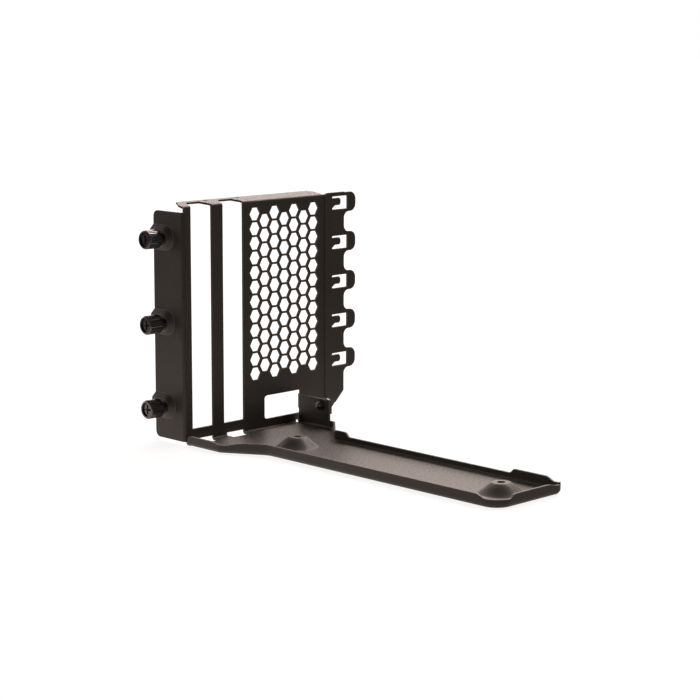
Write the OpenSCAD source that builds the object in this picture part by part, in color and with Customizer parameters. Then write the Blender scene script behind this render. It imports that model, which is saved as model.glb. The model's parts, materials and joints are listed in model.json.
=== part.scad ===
// Vertical expansion-card bracket: one folded steel sheet that carries a graphics card upright,
// three captive thumbscrews on its screw flange, and a screw that closes its gusset.
// Origin: underside of the tray, midway between the two riser stand-offs.
// +X towards the hooks, +Y towards the back plate, +Z up. Millimetres.

/* [Sheet] */
// Thickness of the steel sheet
sheet_t = 1; // [0.8:0.1:1.1]
// Inside radius of every fold
fold_r = 0.6; // [0.4:0.1:0.8]

/* [Back plate] */
// Height of the ledge's front strip above the underside of the tray
plate_h = 116.5; // [115:0.1:120]
// Spacing of expansion slots (a fixed standard)
slot_pitch = 20.32; // [20.32]
// Width of a card slot
slot_w = 13.15; // [12.2:0.05:13.6]
// Height of the sill under the card slots
slot_sill = 7.55; // [6.5:0.05:9]
// Distance from the screw flange to the first slot
slot_edge = 5; // [4.5:0.1:6]

/* [Vent] */
// Size of a vent hole across its flats
hex_flats = 6.2; // [5:0.1:6.4]
// Spacing of vent columns
hex_pitch_x = 6.64; // [6.6:0.02:6.7]
// Spacing of vent holes in a column
hex_pitch_z = 7.27; // [7.2:0.01:7.3]
// Number of vent columns
hex_columns = 7; // [3:1:7]
// Holes in the longer columns
hex_rows = 12; // [4:1:12]

/* [Window and gusset] */
// Left side of the window
window_x = 47.4; // [46:0.1:50]
// Bottom of the window
window_z0 = 5.55; // [4.5:0.05:6]
// Top of the window
window_z1 = 17.45; // [16.8:0.05:18]
// Height of the gusset flap and of the tray's ear
gusset_z1 = 15.4; // [15.2:0.1:15.8]
// How far the gusset reaches out from the plate
gusset_reach = 23.6; // [21:0.2:24]

/* [Top ledge] */
// Depth of the ledge behind the plate
ledge_d = 12; // [11:0.5:14]
// Right end of the ledge
ledge_x1 = 87.6; // [80:0.2:88]
// How much the ledge rises towards its back
ledge_rise = 0.8; // [0.3:0.1:1]

/* [Screw flange] */
// Depth of the flange behind the plate
flange_d = 21.9; // [20:0.1:24]
// Height of the middle thumbscrew
screw_mid_z = 59.1; // [57:0.1:60]
// Spacing of the thumbscrews
screw_pitch = 41.3; // [40.5:0.1:41.5]
// Distance of the thumbscrews behind the plate
screw_y = 12.6; // [12.4:0.1:14]
// Height of the raised beds of the thumbscrews
bed_h = 2.3; // [2.1:0.1:2.6]

/* [Hooks] */
// Number of hooks
hook_count = 5; // [3:1:5]
// Height of the top hook's centre
hook_top_z = 111.5; // [110:0.1:111.7]
// Length of a hook
hook_reach = 8.3; // [8:0.1:9]

/* [Tray] */
// Distance between the two riser stand-offs
standoff_pitch = 129.5; // [125:0.5:134]
// Distance from the plate to the nearer stand-off
standoff_setback = 42; // [40:0.5:44]
// Length of the tray in front of the plate
tray_len = 189.2; // [187:0.2:195]
// Width of the tray's arm
arm_w = 45; // [44:0.2:48]
// Radius of the screw hole in a stand-off
standoff_hole_r = 1.9; // [1.5:0.1:2]
// Height of a stand-off above the tray floor
standoff_h = 4.9; // [3.5:0.1:5.2]

/* [Rim] */
// Height of the rim along the near side
rim_near = 5.6; // [5.2:0.1:6.2]
// Height of the rim beside the plate
rim_rear = 5.1; // [4.7:0.1:5.2]
// Height of the rim along the far side
rim_far = 4.2; // [4:0.1:4.6]
// Height of the raised stretches of the far side
rim_raised = 6.3; // [5.8:0.1:6.6]
// Height of the rim where it turns a corner
rim_dip = 4; // [3.6:0.1:4.4]
// Inside radius of the fold under the rim
rim_fold_r = 1.4; // [0.6:0.1:1.6]

/* [Thumbscrews] */
// Diameter of the knurled collar
collar_d = 9.2; // [8.6:0.1:9.6]
// Length of the knurled part
collar_len = 8.1; // [6.5:0.1:8.5]
// Travel of a captive screw
screw_travel = 1.6; // [1:0.1:1.6]
// Diameter of the screw's neck
neck_d = 4.6; // [4.2:0.1:4.8]
// Outside diameter of the thread (6-32 UNC)
thread_d = 3.5; // [3.4:0.05:3.6]

/* [Hidden] */
$fn = 64;

paint_colour = [0.13, 0.12, 0.11];
screw_colour = [0.09, 0.09, 0.09];
zinc_colour = [0.55, 0.55, 0.53];

// Everything is laid out from the first slot's lower left corner: X from the slot's left side,
// Y from the plate's front face, Z from the underside of the tray.
arm_x0 = 7.8;
riser_x = arm_x0 + arm_w / 2;
plate_y = standoff_setback + standoff_pitch / 2;

fold_out = fold_r + sheet_t;
rim_out = rim_fold_r + sheet_t;
top_fold_r = 0.2;                // the ledge's fold is sharper
top_fold_out = top_fold_r + sheet_t;
lap = 0.5;                       // how far neighbouring stretches of sheet run into each other
weld = 0.02;                     // overlap of stretches of sheet that meet end to end
floor_lap = 0.1;                 // how far the floor runs into the rim's fold
cut = 1;                         // how far a cutting body stands clear of what it cuts

flange_x = -slot_edge;           // outer face of the screw flange
flange_z0 = 1.6;
flange_z1 = 113.25;
flange_corner_r = 3;

plate_flat_x0 = flange_x + fold_out;
plate_top = plate_h - top_fold_out;
plate_foot_z = 3;                // lower edge of the plate beyond the ear
slot_x = [0, slot_pitch];
slot_notch_y = 6.5;
slot_notch_in = 2.4;

hex_x0 = 41.51;
hex_z0 = 29.54;
hex_r = hex_flats / sqrt(3);

comb_x = 89.7;                   // line along which the hook comb is stepped forward
comb_step = 0.4;
comb_x1 = 102.8;
comb_top = 116.75;
comb_foot_x = 94;
comb_z0 = 10.8;
comb_foot_z = 4.4;
hook_half = 5;
hook_r = 3.9;
hook_fillet_r = 3.2;

flap_x = 70.5;                   // face on which the ear and the flap meet
flap_z0 = 8.3;
foot_past_ear = 1.4;              // how far the plate's lower fold runs on beyond the ear
gusset_screw_y = -17.2;
gusset_screw_z = 12.1;
gusset_screw_r = 1.5;
gusset_hole_r = 1.6;
nut_pilot_r = 2.1;

tray_x0 = -4.8;
wide_near_y = -24;
wide_far_y = -27;
arm_near_y = -44.4;
arm_far_y = -45.6;
rim_start_y = -fold_out;
tongue_x0 = 1.9;
tongue_w = 11.3;
tongue_d = 5.1;
tongue_z1 = 2.4;

bed_y = screw_y + 0.4;           // centre of a bed's round end
bed_r0 = 6.1;
bed_r1 = bed_r0 - bed_h;         // flanks at 45 degrees
standoff_r0 = 10.3;
standoff_r1 = 4.2;

neck_r = neck_d / 2;
running = 0.06;                  // radial running clearance
ring_t = 0.5;
ring_r = 2.8;
ring_play = 0.05;
groove_r = 1.9;
land_t = 0.5;
foot_len = 1.6;
foot_play = 0.05;                // gap left under the collar's foot at full travel
foot_r = 2.9;
collar_floor = 1.2;              // thickness of the collar under the head of the screw
head_r = 3.3;
head_recess = 0.8;
knurl_count = 28;
knurl_depth = 0.32;

screw_z = [for (k = [1, 0, -1]) screw_mid_z + k * screw_pitch];

// ---- placing and drawing helpers -------------------------------------------------------------

// Moves what is drawn from the first slot's corner to the part's origin.
module placed() translate([-riser_x, plate_y, 0]) children();

// Extrudes an outline drawn in X and Z, from y0 back to y0 + depth.
module upright(y0, depth)
    translate([0, y0 + depth, 0]) rotate([90, 0, 0]) linear_extrude(depth) children();

// Extrudes an outline drawn in Y and Z, from x0 to x0 + length.
module along_x(x0, length)
    translate([x0, 0, 0]) rotate([90, 0, 90]) linear_extrude(length) children();

// Turns what is drawn round Z so that it points to -X, at height z of the screw flange.
module on_flange(z)
    translate([flange_x, 0, z]) rotate([0, -90, 0]) children();

// Quarter ring of sheet: the section of a fold, in the quadrant that sx and sy point to.
module fold_section(sx, sy, r = fold_r)
    intersection() {
        difference() {
            circle(r = r + sheet_t);
            circle(r = r);
        }
        mirror([sx > 0 ? 0 : 1, 0]) mirror([0, sy > 0 ? 0 : 1]) square(r + sheet_t);
    }

// Rectangle with chosen corner radius, drawn from its lower left corner.
module round_rect(w, h, r) {
    translate([r, 0]) square([w - 2 * r, h]);
    translate([0, r]) square([w, h - 2 * r]);
    for (x = [r, w - r], y = [r, h - r]) translate([x, y]) circle(r = r);
}

// Smooth rise from 0 to 1.
function ease(t) = t * t * (3 - 2 * t);

// Curve through the given points, with a smooth rise between each pair.
function eased_curve(keys, steps = 6) = concat(
    [for (i = [0 : len(keys) - 2], k = [0 : steps - 1])
        let (a = keys[i], b = keys[i + 1], t = k / steps)
        [a[0] + (b[0] - a[0]) * t, a[1] + (b[1] - a[1]) * ease(t)]],
    [keys[len(keys) - 1]]);

// Pressed dome in sheet whose face lies at z = 0: foot radius r0, top radius r1, height h, with a
// hole. The flank leans by thinning on the inside.
module pressed_dome(r0, r1, h, hole_r, thinning) {
    steps = 10;
    flank = [for (i = [0 : steps]) let (t = i / steps)
        [r0 + (r1 - r0) * t, h * (0.75 * t + 0.25 * ease(t))]];
    inner = [for (i = [steps : -1 : 0]) flank[i] - [thinning, sheet_t]];
    rotate_extrude() polygon(concat(
        [[r0 + lap, 0]], flank, [[hole_r, h], [hole_r, h - sheet_t]], inner, [[r0 + lap, -sheet_t]]));
}

// ---- back plate ------------------------------------------------------------------------------

module hook_comb_outline() {
    hook_z = [for (k = [0 : hook_count - 1]) hook_top_z - k * slot_pitch];
    valley_z = [for (k = [0 : hook_count - 1]) hook_z[k] - hook_half];
    difference() {
        union() {
            polygon([[comb_x, comb_z0], [comb_x1, comb_z0 - 6], [comb_x1, comb_top],
                [comb_x + 0.9, comb_top], [comb_x - 0.6, plate_h - 0.6], [comb_x - 0.6, plate_h - 2],
                [comb_x, plate_h - 2]]);
            for (z = hook_z) {
                translate([comb_x1 - 6, z - hook_half])
                    round_rect(hook_reach + 6, 2 * hook_half, hook_r);
                for (side = z == hook_z[0] ? [-1] : [-1, 1])
                    difference() {
                        translate([comb_x1, z + side * (hook_half + hook_fillet_r / 2)])
                            square([2 * hook_fillet_r, hook_fillet_r], center = true);
                        translate([comb_x1 + hook_fillet_r, z + side * (hook_half + hook_fillet_r)])
                            circle(r = hook_fillet_r);
                    }
            }
        }
        for (z = hook_z) translate([0, z]) spring_cut_outline();
        comb_corner_cut();
    }
}

// U-shaped cut that frees the small spring tongue of a hook.
module spring_cut_outline()
    difference() {
        translate([94.3, -3.5]) round_rect(11.1, 6.7, 0.5);
        polygon([[93.5, -3.5], [96.3, -1.4], [99.4, -1.4], [100.3, -0.5], [100.3, 1.4], [99.4, 2.3],
            [93.5, 2.3]]);
    }

// The comb's lower edge follows the slope of the plate.
module comb_corner_cut()
    polygon([[comb_foot_x, comb_foot_z], [comb_x1 + cut, comb_foot_z + comb_x1 + cut - comb_foot_x],
        [comb_x1 + cut, -cut], [comb_foot_x, -cut]]);

module plate_outline()
    difference() {
        union() {
            translate([plate_flat_x0, fold_out])
                square([comb_foot_x - plate_flat_x0, plate_top - fold_out]);
            translate([flange_x + 0.8, flange_z1]) square([fold_out, plate_top - flange_z1]);
            polygon([[comb_foot_x - lap, fold_out], [comb_foot_x, fold_out],
                [comb_foot_x, comb_foot_z], [comb_x1, comb_foot_z + comb_x1 - comb_foot_x],
                [comb_x1, comb_z0 + 20], [comb_foot_x - lap, comb_z0 + 20]]);
        }
        for (x = slot_x) translate([x, slot_sill]) square([slot_w, plate_h]);
        for (c = [0 : hex_columns - 1])
            for (r = [0 : hex_rows - 1 - c % 2])
                translate([hex_x0 + c * hex_pitch_x, hex_z0 + (r + (c % 2) / 2) * hex_pitch_z])
                    circle(r = hex_r, $fn = 6);
        window_outline();
        translate([flap_x + sheet_t, 0]) square([comb_x, plate_foot_z]);
        translate([ledge_x1, plate_top - 1]) square([comb_x, cut + 1]);
    }

// Rectangular window whose material is folded out as the gusset flap.
module window_outline() {
    translate([window_x, window_z0])
        round_rect(flap_x - window_x, window_z1 - window_z0, 1.6);
    translate([flap_x - 4, window_z0])
        round_rect(4 + fold_out, window_z1 - window_z0, 0.6);
}

module back_plate() {
    upright(0, sheet_t) difference() {
        plate_outline();
        spring_area();
    }
    upright(-comb_step, sheet_t) hook_comb_outline();
    // short strip of plate between the ledge's end and the comb
    upright(0, sheet_t) translate([ledge_x1 - weld, plate_top - lap - 1])
        square([comb_x - ledge_x1 + lap, lap + 1 + top_fold_out - 0.4]);
}

// Where the comb's cuts must also open the plate behind it.
module spring_area()
    for (k = [0 : hook_count - 1])
        translate([0, hook_top_z - k * slot_pitch]) spring_cut_outline();

// ---- folds, ledge and flange -------------------------------------------------------------------

module floor_fold()
    along_x(plate_flat_x0, flap_x - plate_flat_x0 + foot_past_ear)
        translate([-fold_r, fold_out]) fold_section(1, -1);

module gusset_fold()
    translate([flap_x + fold_out, -fold_r, flap_z0])
        linear_extrude(gusset_z1 - flap_z0) fold_section(-1, 1);

module flange_fold()
    translate([plate_flat_x0, fold_out, flange_z0])
        linear_extrude(flange_z1 - flange_z0) fold_section(-1, -1);

module gusset_flap()
    translate([flap_x, 0, 0]) difference() {
        translate([0, -gusset_reach, flap_z0])
            cube([sheet_t, gusset_reach - fold_r, gusset_z1 - flap_z0]);
        translate([-cut, gusset_screw_y, gusset_screw_z]) rotate([0, 90, 0])
            cylinder(r = nut_pilot_r, h = sheet_t + 2 * cut);
    }

module ledge_plan()
    difference() {
        polygon([[flange_x + 0.1, -cut], [flange_x + 0.1, 3.2], [1, ledge_d],
            [ledge_x1, ledge_d], [ledge_x1, -cut]]);
        for (x = slot_x)
            polygon([[x, -2 * cut], [x, 2], [x + slot_notch_in, slot_notch_y],
                [x + slot_w - slot_notch_in, slot_notch_y], [x + slot_w, 2], [x + slot_w, -2 * cut]]);
        for (x = slot_x)
            translate([x + slot_w + (slot_pitch - slot_w) / 2, 8.6]) circle(r = 1.4);
    }

// Section of the ledge in Y and Z: behind its fold it rises gently, then it is level.
module ledge_section() {
    level_y = 6.5;
    z = plate_h;
    translate([top_fold_out, plate_top]) fold_section(-1, 1, top_fold_r);
    polygon([[top_fold_out - 0.01, z - sheet_t], [level_y, z - sheet_t + ledge_rise],
        [ledge_d, z - sheet_t + ledge_rise], [ledge_d, z + ledge_rise], [level_y, z + ledge_rise],
        [top_fold_out - 0.01, z]]);
}

module top_ledge()
    intersection() {
        along_x(flange_x, ledge_x1 - flange_x) ledge_section();
        translate([0, 0, plate_top]) linear_extrude(2 * top_fold_out + ledge_rise) ledge_plan();
    }

// Raised bed of a thumbscrew between heights z0 and z1: round at its inner end, and running out
// through the flange's free edge.
module bed(r0, r1, z0, z1, y1) {
    translate([0, bed_y, z0]) cylinder(r1 = r0, r2 = r1, h = z1 - z0);
    translate([0, y1, 0]) rotate([90, 0, 0]) linear_extrude(y1 - bed_y)
        polygon([[-r0, z0], [r0, z0], [r1, z1], [-r1, z1]]);
}

module screw_flange() {
    under = (sqrt(2) - 1) * sheet_t;     // how much narrower the bed is on its inside
    difference() {
        union() {
            translate([flange_x, 0, 0]) intersection() {
                along_x(0, sheet_t) translate([-flange_corner_r, flange_z0])
                    round_rect(flange_d + flange_corner_r, flange_z1 - flange_z0, flange_corner_r);
                translate([-cut, fold_out, 0]) cube([2 * cut + sheet_t, flange_d, plate_h]);
            }
            for (z = screw_z) on_flange(z) bed(bed_r0, bed_r1, 0, bed_h, flange_d);
        }
        for (z = screw_z) on_flange(z) {
            bed(bed_r0 - under + cut, bed_r1 - under, -sheet_t - cut, bed_h - sheet_t,
                flange_d + cut);
            translate([0, screw_y, 0]) cylinder(r = neck_r + running, h = bed_h + cut);
        }
    }
}

// ---- tray --------------------------------------------------------------------------------------

// Corners of the tray's outer outline from the plate's left round to its right, each with the
// radius of its turn; a negative radius turns outwards.
tray_path = [
    [[tray_x0, rim_start_y], 0],
    [[tray_x0, wide_near_y], 4],
    [[arm_x0, arm_near_y], -8],
    [[arm_x0, -tray_len], 9],
    [[arm_x0 + arm_w, -tray_len], 5],
    [[arm_x0 + arm_w, arm_far_y], -5],
    [[flap_x, wide_far_y], 4],
    [[flap_x, rim_start_y], 0]];

function unit(v) = v / norm(v);
// Direction of the stretch that leaves corner i.
function way(i) = unit(tray_path[i + 1][0] - tray_path[i][0]);
// Direction to the tray's inside, from the stretch that leaves corner i.
function inward(i) = [-way(i)[1], way(i)[0]];
function turn_angle(i) = atan2(cross(way(i - 1), way(i)), way(i - 1) * way(i));
function tangent_len(i) =
    i == 0 || i == len(tray_path) - 1 ? 0 : abs(tray_path[i][1] * tan(turn_angle(i) / 2));
function turn_centre(i) =
    tray_path[i][0] - tangent_len(i) * way(i - 1) + tray_path[i][1] * inward(i - 1);

// Points of the outline moved inwards by d, with arcs at its corners.
function tray_outline(d) = concat(
    [tray_path[0][0] + d * inward(0)],
    [for (i = [1 : len(tray_path) - 2], k = [0 : 8])
        let (r = tray_path[i][1],
             v = -inward(i - 1) * (r - d),
             a = turn_angle(i) * k / 8)
        turn_centre(i) + [v[0] * cos(a) - v[1] * sin(a), v[0] * sin(a) + v[1] * cos(a)]],
    [tray_path[len(tray_path) - 1][0] + d * inward(len(tray_path) - 2)]);

// Section of the rim: x is the distance inwards from the outer face.
module rim_section() {
    steps = 6;
    polygon(concat(
        [[0, rim_raised]],
        [for (k = [0 : steps]) let (a = 90 * k / steps)
            rim_out * [1 - cos(a), 1 - sin(a)]],
        [for (k = [steps : -1 : 0]) let (a = 90 * k / steps)
            [rim_out, rim_out] - rim_fold_r * [cos(a), sin(a)]],
        [[sheet_t, rim_raised]]));
}

// Straight stretches run a hair into the turns, so that the sheet is one body.
module rim_stretch(i) {
    a = tray_path[i][0] + (tangent_len(i) - weld) * way(i);
    length = norm(tray_path[i + 1][0] - tray_path[i][0]) - tangent_len(i) - tangent_len(i + 1);
    translate([a[0], a[1], 0]) rotate([0, 0, atan2(inward(i)[1], inward(i)[0])])
        rotate([90, 0, 0]) linear_extrude(length + 2 * weld) rim_section();
}

module rim_turn(i) {
    r = tray_path[i][1];
    c = turn_centre(i);
    start = atan2(-inward(i - 1)[1] * sign(r), -inward(i - 1)[0] * sign(r));
    translate([c[0], c[1], 0]) rotate([0, 0, start + min(0, turn_angle(i))])
        rotate_extrude(angle = abs(turn_angle(i)))
            translate([abs(r), 0]) mirror([r > 0 ? 1 : 0, 0]) rim_section();
}

// Height of the rim's top: against distance from the plate on the near and on the far side, and
// against X along the end wall.
near_rim = [[-tray_len - cut, rim_dip], [-tray_len + 7, rim_dip], [-tray_len + 13.2, rim_near],
    [-40, rim_near], [-34, rim_near - 0.2], [-26, rim_dip], [-18, rim_rear], [-3.2, rim_rear],
    [rim_start_y, rim_rear - 1.2], [cut, rim_rear - 1.2]];
far_rim = [[-tray_len - cut, rim_near], [-tray_len + 4, rim_far + 0.4],
    [-tray_len + 5.5, rim_far + 0.3], [-178.4, rim_raised], [-160.6, rim_raised], [-157.6, rim_far],
    [-55.6, rim_far], [-52.7, rim_raised], [-46.5, rim_raised], [-43.5, rim_far + 0.8],
    [cut, rim_far + 0.8]];
end_rim = [[arm_x0 - cut, rim_dip], [arm_x0 + 7.8, rim_dip], [arm_x0 + 11.4, rim_near + 0.2],
    [arm_x0 + arm_w - 12, rim_near + 0.2], [arm_x0 + arm_w - 5, rim_near - 1],
    [arm_x0 + arm_w - 3.4, rim_near - 1.1], [arm_x0 + arm_w - 2.8, rim_dip - 0.7],
    [arm_x0 + arm_w - 1.6, rim_dip - 0.7], [arm_x0 + arm_w - 1.1, rim_near - 0.4],
    [arm_x0 + arm_w + cut, rim_near - 0.4]];
end_depth = 2.2;                 // how deep the end wall's cut reaches towards the plate

// Everything above a curve of heights.
module above(keys) {
    top = 2 * rim_raised;
    polygon(concat([[keys[0][0], top]], eased_curve(keys), [[keys[len(keys) - 1][0], top]]));
}

module tray_rim()
    difference() {
        union() {
            for (i = [0 : len(tray_path) - 2]) rim_stretch(i);
            for (i = [1 : len(tray_path) - 2]) rim_turn(i);
        }
        difference() {
            union() {
                along_x(tray_x0 - cut, riser_x - tray_x0 + cut) above(near_rim);
                along_x(riser_x - weld, 2 * riser_x) above(far_rim);
            }
            translate([tray_x0, -tray_len - 2 * cut, 0])
                cube([2 * riser_x + arm_w, 2 * cut + end_depth, 3 * rim_raised]);
        }
        upright(-tray_len - cut, cut + end_depth + weld) above(end_rim);
    }

module tray_floor()
    difference() {
        union() {
            linear_extrude(sheet_t) difference() {
                polygon(tray_outline(rim_out - floor_lap));
                for (x = slot_x) translate([x + tongue_x0, -tongue_d])
                    square([tongue_w, tongue_d + cut]);
            }
            // strip that joins the floor to the plate's fold
            linear_extrude(sheet_t) difference() {
                translate([plate_flat_x0, rim_start_y - lap])
                    square([flap_x + foot_past_ear - plate_flat_x0, lap + sheet_t]);
                for (x = slot_x) translate([x + tongue_x0, -tongue_d])
                    square([tongue_w, tongue_d + cut]);
            }
        }
        for (y = standoff_y) translate([riser_x, y, -cut])
            cylinder(r = standoff_r0 + lap / 2, h = sheet_t + 2 * cut);
    }

standoff_y = [-standoff_setback, -standoff_setback - standoff_pitch];

module standoffs()
    for (y = standoff_y) translate([riser_x, y, sheet_t])
        pressed_dome(standoff_r0, standoff_r1, standoff_h, standoff_hole_r, 0.3);

// Wall of the tray that stands against the gusset flap.
module tray_ear()
    difference() {
        translate([flap_x - sheet_t, -gusset_reach, rim_out])
            cube([sheet_t, gusset_reach - fold_out, gusset_z1 - rim_out]);
        translate([flap_x - sheet_t - cut, gusset_screw_y, gusset_screw_z]) rotate([0, 90, 0])
            cylinder(r = gusset_hole_r, h = sheet_t + 2 * cut);
    }

module folded_bracket()
    color(paint_colour) placed() difference() {
        union() {
            back_plate();
            top_ledge();
            flange_fold();
            screw_flange();
            gusset_fold();
            gusset_flap();
            floor_fold();
            tray_floor();
            tray_rim();
            standoffs();
            tray_ear();
        }
        // slots for the tongues of the card brackets, cut across the fold
        for (x = slot_x) translate([x + tongue_x0, -tongue_d, -cut])
            cube([tongue_w, tongue_d + 2 * cut, cut + tongue_z1]);
        // relief hole where plate, floor and ear meet
        translate([flap_x - 0.1, -0.2, -cut]) cylinder(r = 1.35, h = cut + fold_out + 0.5);
        // relief slit at the foot of the hook comb
        translate([92.6, 0, 9.5]) rotate([0, 22, 0]) cube([3, 4 * sheet_t, 0.4], center = true);
    }

// ---- thumbscrews -------------------------------------------------------------------------------
// Lathe bodies round Z: z = 0 is the top face of the bed, +Z points away from the bracket.

knurl_z0 = screw_travel + foot_len;
collar_z1 = knurl_z0 + collar_len;
ring_z1 = -sheet_t - ring_play;
ring_z0 = ring_z1 - ring_t;
land_z0 = ring_z0 - ring_play - land_t;
thread_z0 = -bed_h - sheet_t - 1;

module at_bed(z) on_flange(z) translate([0, screw_y, bed_h]) children();

module thumb_collar() {
    chamfer = 0.6;
    r = collar_d / 2;
    difference() {
        union() {
            intersection() {
                translate([0, 0, knurl_z0]) linear_extrude(collar_len) difference() {
                    circle(r = r);
                    for (i = [0 : knurl_count - 1]) rotate(i * 360 / knurl_count)
                        translate([r + 0.1, 0]) rotate(45) square(2 * knurl_depth, center = true);
                }
                translate([0, 0, knurl_z0]) rotate_extrude() polygon([[0, 0], [r - chamfer, 0],
                    [r, chamfer], [r, collar_len - chamfer], [r - chamfer, collar_len],
                    [0, collar_len]]);
            }
            translate([0, 0, screw_travel + foot_play])
                cylinder(r = foot_r, h = foot_len + lap - foot_play);
        }
        translate([0, 0, knurl_z0 + collar_floor]) cylinder(r = head_r, h = collar_len + cut);
        translate([0, 0, screw_travel - cut]) cylinder(r = neck_r, h = 3 * cut + foot_len);
    }
}

module cross_recess(reach, depth)
    intersection() {
        for (a = [0, 90]) rotate(a) translate([-reach, -0.22 * reach, -depth])
            cube([2 * reach, 0.44 * reach, depth + cut]);
        translate([0, 0, -depth]) cylinder(r1 = 0.55 * reach, r2 = 1.1 * reach, h = depth + 0.3);
    }

module thumb_screw() {
    head_z1 = collar_z1 - head_recess;
    head_z0 = knurl_z0 + collar_floor;
    r = thread_d / 2;
    difference() {
        rotate_extrude() polygon([[0, thread_z0], [r - 0.5, thread_z0], [r, thread_z0 + 0.5],
            [r, land_z0], [neck_r, land_z0], [neck_r, ring_z0 - ring_play],
            [groove_r, ring_z0 - ring_play], [groove_r, ring_z1 + ring_play],
            [neck_r, ring_z1 + ring_play], [neck_r, head_z0], [head_r, head_z0],
            [head_r, head_z1 - 0.3], [head_r - 0.3, head_z1], [0, head_z1]]);
        translate([0, 0, head_z1]) cross_recess(2.3, 1.8);
    }
}

// Snap ring with its gap; it sits in the groove of the neck.
module retaining_ring()
    difference() {
        translate([0, 0, ring_z0]) cylinder(r = ring_r, h = ring_t);
        translate([0, 0, ring_z0 - cut]) cylinder(r = groove_r + running, h = ring_t + 2 * cut);
        translate([-0.7, 0, ring_z0 - cut]) cube([1.4, ring_r + cut, ring_t + 2 * cut]);
    }

module upper_thumb_screw() color(screw_colour) placed() at_bed(screw_z[0]) thumb_screw();
module upper_thumb_collar() color(screw_colour) placed() at_bed(screw_z[0]) thumb_collar();
module upper_retaining_ring() color(zinc_colour) placed() at_bed(screw_z[0]) retaining_ring();
module middle_thumb_screw() color(screw_colour) placed() at_bed(screw_z[1]) thumb_screw();
module middle_thumb_collar() color(screw_colour) placed() at_bed(screw_z[1]) thumb_collar();
module middle_retaining_ring() color(zinc_colour) placed() at_bed(screw_z[1]) retaining_ring();
module lower_thumb_screw() color(screw_colour) placed() at_bed(screw_z[2]) thumb_screw();
module lower_thumb_collar() color(screw_colour) placed() at_bed(screw_z[2]) thumb_collar();
module lower_retaining_ring() color(zinc_colour) placed() at_bed(screw_z[2]) retaining_ring();

// ---- gusset fastener ---------------------------------------------------------------------------
// Lathe bodies round Z: z = 0 is the ear's inner face, +Z points into the tray.

module at_gusset()
    translate([flap_x - sheet_t, gusset_screw_y, gusset_screw_z]) rotate([0, -90, 0]) children();

module gusset_screw()
    color(screw_colour) placed() at_gusset() difference() {
        head_r = 2.4;
        rotate_extrude() polygon([[0, -4.4], [1.2, -4.4], [gusset_screw_r, -4.1],
            [gusset_screw_r, 0], [head_r, 0], [head_r, 0.7], [head_r - 0.4, 1.2], [0, 1.4]]);
        translate([0, 0, 1.3]) cross_recess(1.5, 0.8);
    }

module gusset_nut()
    color(zinc_colour) placed() at_gusset() difference() {
        union() {
            translate([0, 0, -2 * sheet_t - 1.5]) cylinder(r = 2.9, h = 1.5);
            translate([0, 0, -2 * sheet_t - 0.1]) cylinder(r = nut_pilot_r, h = sheet_t + 0.1);
        }
        translate([0, 0, -2 * sheet_t - 1.5 - cut]) cylinder(r = gusset_screw_r, h = 6);
    }

folded_bracket();
upper_thumb_screw();
upper_thumb_collar();
upper_retaining_ring();
middle_thumb_screw();
middle_thumb_collar();
middle_retaining_ring();
lower_thumb_screw();
lower_thumb_collar();
lower_retaining_ring();
gusset_screw();
gusset_nut();
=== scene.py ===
import json
import math

import bpy
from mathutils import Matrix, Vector


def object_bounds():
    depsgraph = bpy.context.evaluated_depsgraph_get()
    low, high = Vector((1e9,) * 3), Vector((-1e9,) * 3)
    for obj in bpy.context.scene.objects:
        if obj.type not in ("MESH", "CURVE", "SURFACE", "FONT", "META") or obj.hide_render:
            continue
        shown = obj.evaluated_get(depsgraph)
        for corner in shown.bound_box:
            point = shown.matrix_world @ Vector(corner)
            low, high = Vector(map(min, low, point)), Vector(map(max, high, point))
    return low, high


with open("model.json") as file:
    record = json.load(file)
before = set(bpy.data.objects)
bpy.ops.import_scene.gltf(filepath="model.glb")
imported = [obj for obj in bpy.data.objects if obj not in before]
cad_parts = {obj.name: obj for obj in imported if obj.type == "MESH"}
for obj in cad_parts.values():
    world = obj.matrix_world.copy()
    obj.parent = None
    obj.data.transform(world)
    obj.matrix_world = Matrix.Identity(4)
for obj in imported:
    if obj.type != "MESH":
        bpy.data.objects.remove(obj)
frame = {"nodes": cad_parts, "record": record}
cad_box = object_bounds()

MM = 0.001

# ---- node helpers --------------------------------------------------------------------------------


def new_material(name):
    material = bpy.data.materials.new(name)
    material.use_nodes = True
    tree = material.node_tree
    return material, tree, tree.nodes["Principled BSDF"]


def put(socket, tree, value):
    """Gives a socket a plain value or links an output to it."""
    if isinstance(value, bpy.types.NodeSocket):
        tree.links.new(value, socket)
    else:
        socket.default_value = value


def maths(tree, operation, a, b=0.0, clamp=False):
    node = tree.nodes.new("ShaderNodeMath")
    node.operation = operation
    node.use_clamp = clamp
    put(node.inputs[0], tree, a)
    put(node.inputs[1], tree, b)
    return node.outputs[0]


def remap(tree, value, low, high, to_low=0.0, to_high=1.0):
    """Smooth step of a value, from to_low at low to to_high at high."""
    node = tree.nodes.new("ShaderNodeMapRange")
    node.interpolation_type = "SMOOTHSTEP"
    put(node.inputs["Value"], tree, value)
    for key, number in (("From Min", low), ("From Max", high), ("To Min", to_low), ("To Max", to_high)):
        put(node.inputs[key], tree, number)
    return node.outputs["Result"]


def blend_colours(tree, amount, a, b):
    node = tree.nodes.new("ShaderNodeMix")
    node.data_type = "RGBA"
    put(node.inputs["Factor"], tree, amount)
    put(node.inputs["A"], tree, a)
    put(node.inputs["B"], tree, b)
    return node.outputs["Result"]


def place(tree):
    """Position on the object, in metres."""
    return tree.nodes.new("ShaderNodeTexCoord").outputs["Object"]


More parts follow.
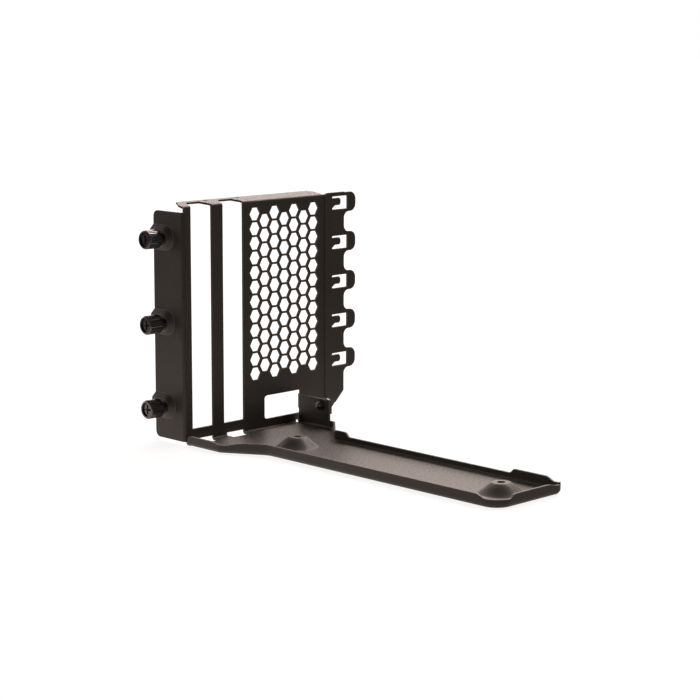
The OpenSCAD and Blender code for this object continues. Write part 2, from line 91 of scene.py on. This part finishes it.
def noise(tree, size, detail=2.0, roughness=0.5, stretch=(1, 1, 1)):
    """Noise with features of about the given size in metres."""
    mapping = tree.nodes.new("ShaderNodeMapping")
    mapping.inputs["Scale"].default_value = stretch
    tree.links.new(place(tree), mapping.inputs["Vector"])
    node = tree.nodes.new("ShaderNodeTexNoise")
    tree.links.new(mapping.outputs[0], node.inputs["Vector"])
    node.inputs["Scale"].default_value = 1 / size
    node.inputs["Detail"].default_value = detail
    node.inputs["Roughness"].default_value = roughness
    return node.outputs["Fac"]


def spread(tree, pattern, low, high):
    """Spreads the middle of a noise over the range from low to high."""
    return remap(tree, pattern, 0.3, 0.7, low, high)


def rounded_normal(tree, radius, samples=6):
    """Normal of the surface with its edges rounded off."""
    node = tree.nodes.new("ShaderNodeBevel")
    node.samples = samples
    node.inputs["Radius"].default_value = radius
    return node.outputs["Normal"]


def edge_mask(tree, rounded, low=0.02, high=0.25):
    """1 on edges, where the rounded normal turns away from the plain one."""
    plain = tree.nodes.new("ShaderNodeNewGeometry").outputs["Normal"]
    dot = tree.nodes.new("ShaderNodeVectorMath")
    dot.operation = "DOT_PRODUCT"
    tree.links.new(rounded, dot.inputs[0])
    tree.links.new(plain, dot.inputs[1])
    return remap(tree, maths(tree, "SUBTRACT", 1.0, dot.outputs["Value"]), low, high)


def bend_mask(tree, radius):
    """1 along the bends of pressed sheet, 0 on sharp cut edges and flat faces."""
    rounded = rounded_normal(tree, radius, 8)
    turned = edge_mask(tree, rounded, 0.012, 0.05)
    sharp = edge_mask(tree, rounded, 0.10, 0.16)
    return maths(tree, "SUBTRACT", turned, sharp, True)


def grazing(tree, low, high):
    """0 where a surface faces the eye, 1 where it is seen at a low angle."""
    node = tree.nodes.new("ShaderNodeLayerWeight")
    node.inputs["Blend"].default_value = 0.5
    return remap(tree, node.outputs["Facing"], low, high)


def bump(tree, height, depth, strength=1.0, normal=None):
    node = tree.nodes.new("ShaderNodeBump")
    node.inputs["Strength"].default_value = strength
    node.inputs["Distance"].default_value = depth
    put(node.inputs["Height"], tree, height)
    if normal is not None:
        tree.links.new(normal, node.inputs["Normal"])
    return node.outputs["Normal"]


# ---- finishes ------------------------------------------------------------------------------------

PAINT = (0.028, 0.0245, 0.0185, 1)
PAINT_PALER = (0.034, 0.0300, 0.0225, 1)
PAINT_GLINT = (0.15, 0.134, 0.127, 1)
# edge colour: thin worn coat on edges, partly a painted highlight
PAINT_WORN_AND_HIGHLIT_EDGES = (0.12, 0.108, 0.10, 1)
# bend colour: a painted highlight along the bends
PAINT_HIGHLIGHT_ON_BENDS = (0.22, 0.205, 0.185, 1)

PLATING = (0.009, 0.0085, 0.008, 1)
SCREW_PLATING = (0.012, 0.0108, 0.0100, 1)
PLATING_ON_EDGES = (0.10, 0.09, 0.085, 1)

ZINC = (0.50, 0.50, 0.49, 1)
ZINC_PALER = (0.64, 0.64, 0.61, 1)
ZINC_ON_EDGES = (0.8, 0.8, 0.78, 1)


def powder_coat():
    """Fine sand-textured black powder coat, with painted glints of its grain at low angles, edges lighter
    from thin worn coat and a painted highlight, and a painted highlight along bends.
    """
    material, tree, bsdf = new_material("powder_coat")
    grain = noise(tree, 0.5 * MM, detail=2.0, roughness=0.6)
    sand = noise(tree, 1.1 * MM, detail=4.0, roughness=0.75)
    cloud = noise(tree, 22 * MM, detail=3.0)
    rounded = rounded_normal(tree, 0.35 * MM, 8)
    # lighter edges: thin worn coat, partly a painted highlight along the edges
    edges = maths(tree, "MULTIPLY", edge_mask(tree, rounded), 0.15)
    # painted highlight along the bends of the pressed sheet
    bends = maths(tree, "MULTIPLY", bend_mask(tree, 0.7 * MM), 0.8)
    glints = maths(tree, "MULTIPLY", grazing(tree, 0.5, 0.8), remap(tree, sand, 0.44, 0.68))

    colour = blend_colours(tree, spread(tree, cloud, 0.0, 1.0), PAINT, PAINT_PALER)
    colour = blend_colours(tree, glints, colour, PAINT_GLINT)
    colour = blend_colours(tree, edges, colour, PAINT_WORN_AND_HIGHLIT_EDGES)
    colour = blend_colours(tree, bends, colour, PAINT_HIGHLIGHT_ON_BENDS)
    put(bsdf.inputs["Base Color"], tree, colour)
    put(bsdf.inputs["Roughness"], tree, spread(tree, grain, 0.5, 0.62))
    put(bsdf.inputs["Specular IOR Level"], tree, 0.4)
    put(bsdf.inputs["Coat Weight"], tree, 0.28)
    put(bsdf.inputs["Coat Roughness"], tree, spread(tree, sand, 0.24, 0.38))
    put(bsdf.inputs["Normal"], tree, bump(tree, grain, 0.035 * MM, 1.0, rounded))
    put(bsdf.inputs["Coat Normal"], tree, bump(tree, sand, 0.01 * MM, 1.0, rounded))
    return material


def glossy_black(name, plating, smoothest, roughest):
    """Smooth black plating with faint handling marks and brighter edges."""
    material, tree, bsdf = new_material(name)
    smears = noise(tree, 2.5 * MM, detail=4.0, roughness=0.6)
    scratches = noise(tree, 0.25 * MM, detail=2.0, stretch=(0.15, 1, 1))
    rounded = rounded_normal(tree, 0.08 * MM)
    edges = maths(tree, "MULTIPLY", edge_mask(tree, rounded), 0.4)
    put(bsdf.inputs["Base Color"], tree, blend_colours(tree, edges, plating, PLATING_ON_EDGES))
    put(bsdf.inputs["Roughness"], tree, spread(tree, smears, smoothest, roughest))
    put(bsdf.inputs["Specular IOR Level"], tree, 1.0)
    put(bsdf.inputs["Coat Weight"], tree, 0.8)
    put(bsdf.inputs["Coat Roughness"], tree, 0.06)
    put(bsdf.inputs["Normal"], tree, bump(tree, scratches, 0.004 * MM, 0.6, rounded))
    return material


def zinc():
    """Bright zinc plating with brushed marks."""
    material, tree, bsdf = new_material("zinc")
    brushed = noise(tree, 0.15 * MM, detail=2.0, stretch=(1, 0.1, 1))
    cloud = noise(tree, 1.5 * MM, detail=3.0)
    rounded = rounded_normal(tree, 0.06 * MM)
    edges = maths(tree, "MULTIPLY", edge_mask(tree, rounded), 0.5)
    colour = blend_colours(tree, cloud, ZINC, ZINC_PALER)
    put(bsdf.inputs["Base Color"], tree, blend_colours(tree, edges, colour, ZINC_ON_EDGES))
    put(bsdf.inputs["Metallic"], tree, 1.0)
    put(bsdf.inputs["Roughness"], tree, spread(tree, brushed, 0.25, 0.42))
    put(bsdf.inputs["Normal"], tree, bump(tree, brushed, 0.004 * MM, 0.5, rounded))
    return material


def dress_frame():
    """Every CAD node gets the finish that the record names for it."""
    finishes = {
        "powder_coat": powder_coat(),
        "knurled_black": glossy_black("knurled_black", PLATING, 0.08, 0.18),
        "black_screw": glossy_black("black_screw", SCREW_PLATING, 0.10, 0.22),
        "zinc": zinc(),
    }
    for subpart in frame["record"]["subparts"]:
        node = frame["nodes"][subpart["node"]]
        node.data.materials.clear()
        node.data.materials.append(finishes[subpart["material_slot"]])


# ---- stage ---------------------------------------------------------------------------------------

CAMERA_PLACE = Vector((-641.8, -613.6, 210.5)) * MM
CAMERA_TURN = (80.127, -0.194, -44.942)      # degrees
CAMERA_LENS = 101.76                         # mm, on a sensor 36 mm wide
HALF_PIXEL = 0.5 / 700

WHITE = (1, 1, 1, 1)
WARM = (1.0, 0.86, 0.81, 1)
BEHIND = (0.5, 0.85)                         # direction in plan from the camera to the bright band
BAND, FRONT, TOP = 1.3, 0.18, 0.10           # brightness of the studio as the object sees it
TABLE_GLOW_CENTRE = (-0.1, 0.12, 0)
TABLE_NEAR, TABLE_FAR = 0.8, 0.12            # brightness of the table as the object sees it
NEAR_WHITE = 0.88                            # the floor near the object, before the lights add to it


def camera():
    data = bpy.data.cameras.new("camera")
    data.sensor_width = 36
    data.lens = CAMERA_LENS
    data.shift_x, data.shift_y = -HALF_PIXEL, HALF_PIXEL
    data.clip_start, data.clip_end = 0.01, 20
    eye = bpy.data.objects.new("camera", data)
    bpy.context.collection.objects.link(eye)
    eye.location = CAMERA_PLACE
    eye.rotation_euler = [math.radians(a) for a in CAMERA_TURN]
    bpy.context.scene.camera = eye


def softbox(name, place_at, size, power):
    """Warm area light that points at the middle of the object."""
    data = bpy.data.lights.new(name, "AREA")
    data.shape = "RECTANGLE"
    data.size, data.size_y = size
    data.energy = power
    data.color = WARM[:3]
    lamp = bpy.data.objects.new(name, data)
    bpy.context.collection.objects.link(lamp)
    low, high = cad_box
    aim = (low + high) / 2 - Vector(place_at)
    lamp.location = place_at
    lamp.rotation_mode = "QUATERNION"
    lamp.rotation_quaternion = aim.to_track_quat("-Z", "Y")


def seen_by_camera(tree):
    """1 for what the camera sees directly, 0 for what lights the object or is mirrored in it."""
    return tree.nodes.new("ShaderNodeLightPath").outputs["Is Camera Ray"]


def studio_world():
    """White to the camera. To the object, a bright band behind it, a soft glow above and dim in front."""
    world = bpy.data.worlds.new("studio")
    bpy.context.scene.world = world
    world.use_nodes = True
    tree = world.node_tree
    background = tree.nodes["Background"]
    split = tree.nodes.new("ShaderNodeSeparateXYZ")
    tree.links.new(tree.nodes.new("ShaderNodeTexCoord").outputs["Generated"], split.inputs[0])
    x, y, z = split.outputs

    along_x = maths(tree, "MULTIPLY", x, BEHIND[0])
    along_y = maths(tree, "MULTIPLY", y, BEHIND[1])
    around = remap(tree, maths(tree, "ADD", along_x, along_y), -0.1, 0.6)
    above = remap(tree, z, -0.10, 0.02)
    below = remap(tree, z, 0.38, 0.70, 1.0, 0.1)
    band = maths(tree, "MULTIPLY", around, maths(tree, "MULTIPLY", above, below))
    glow = maths(tree, "ADD", maths(tree, "MULTIPLY", band, BAND), remap(tree, z, 0.2, 1.0, FRONT, TOP))
    seen = seen_by_camera(tree)
    unseen_glow = maths(tree, "MULTIPLY", glow, maths(tree, "SUBTRACT", 1.0, seen))
    tree.links.new(blend_colours(tree, seen, WARM, WHITE), background.inputs["Color"])
    tree.links.new(maths(tree, "ADD", unseen_glow, seen), background.inputs["Strength"])


def pale_floor():
    """White to the camera with a faint contact shadow; to the object, a table lit mainly close by."""
    bpy.ops.mesh.primitive_plane_add(size=12, location=(0, 0, -0.05 * MM))
    floor = bpy.context.object
    floor.name = "floor"
    material, tree, bsdf = new_material("floor")
    bsdf.inputs["Base Color"].default_value = (0.2, 0.2, 0.2, 1)
    bsdf.inputs["Roughness"].default_value = 1.0
    bsdf.inputs["Specular IOR Level"].default_value = 0.0

    reach = tree.nodes.new("ShaderNodeVectorMath")
    reach.operation = "DISTANCE"
    tree.links.new(place(tree), reach.inputs[0])
    reach.inputs[1].default_value = TABLE_GLOW_CENTRE
    distance = reach.outputs["Value"]

    plain = tree.nodes.new("ShaderNodeEmission")
    put(plain.inputs["Strength"], tree, remap(tree, distance, 0.4, 1.2, NEAR_WHITE, 1.0))
    shown = tree.nodes.new("ShaderNodeAddShader")
    tree.links.new(plain.outputs[0], shown.inputs[0])
    tree.links.new(bsdf.outputs[0], shown.inputs[1])

    lit = tree.nodes.new("ShaderNodeEmission")
    lit.inputs["Color"].default_value = WARM
    put(lit.inputs["Strength"], tree, remap(tree, distance, 0.05, 0.45, TABLE_NEAR, TABLE_FAR))
    either = tree.nodes.new("ShaderNodeMixShader")
    tree.links.new(seen_by_camera(tree), either.inputs["Fac"])
    tree.links.new(lit.outputs[0], either.inputs[1])
    tree.links.new(shown.outputs[0], either.inputs[2])
    tree.links.new(either.outputs[0], tree.nodes["Material Output"].inputs["Surface"])
    floor.data.materials.append(material)


# ---- scene ---------------------------------------------------------------------------------------

bpy.context.scene.view_settings.view_transform = "Standard"
dress_frame()
studio_world()
softbox("back", (0.5, 0.45, 0.75), (0.8, 0.6), 9)
softbox("right", (0.65, -0.1, 0.76), (0.36, 0.4), 3.5)
pale_floor()
camera()
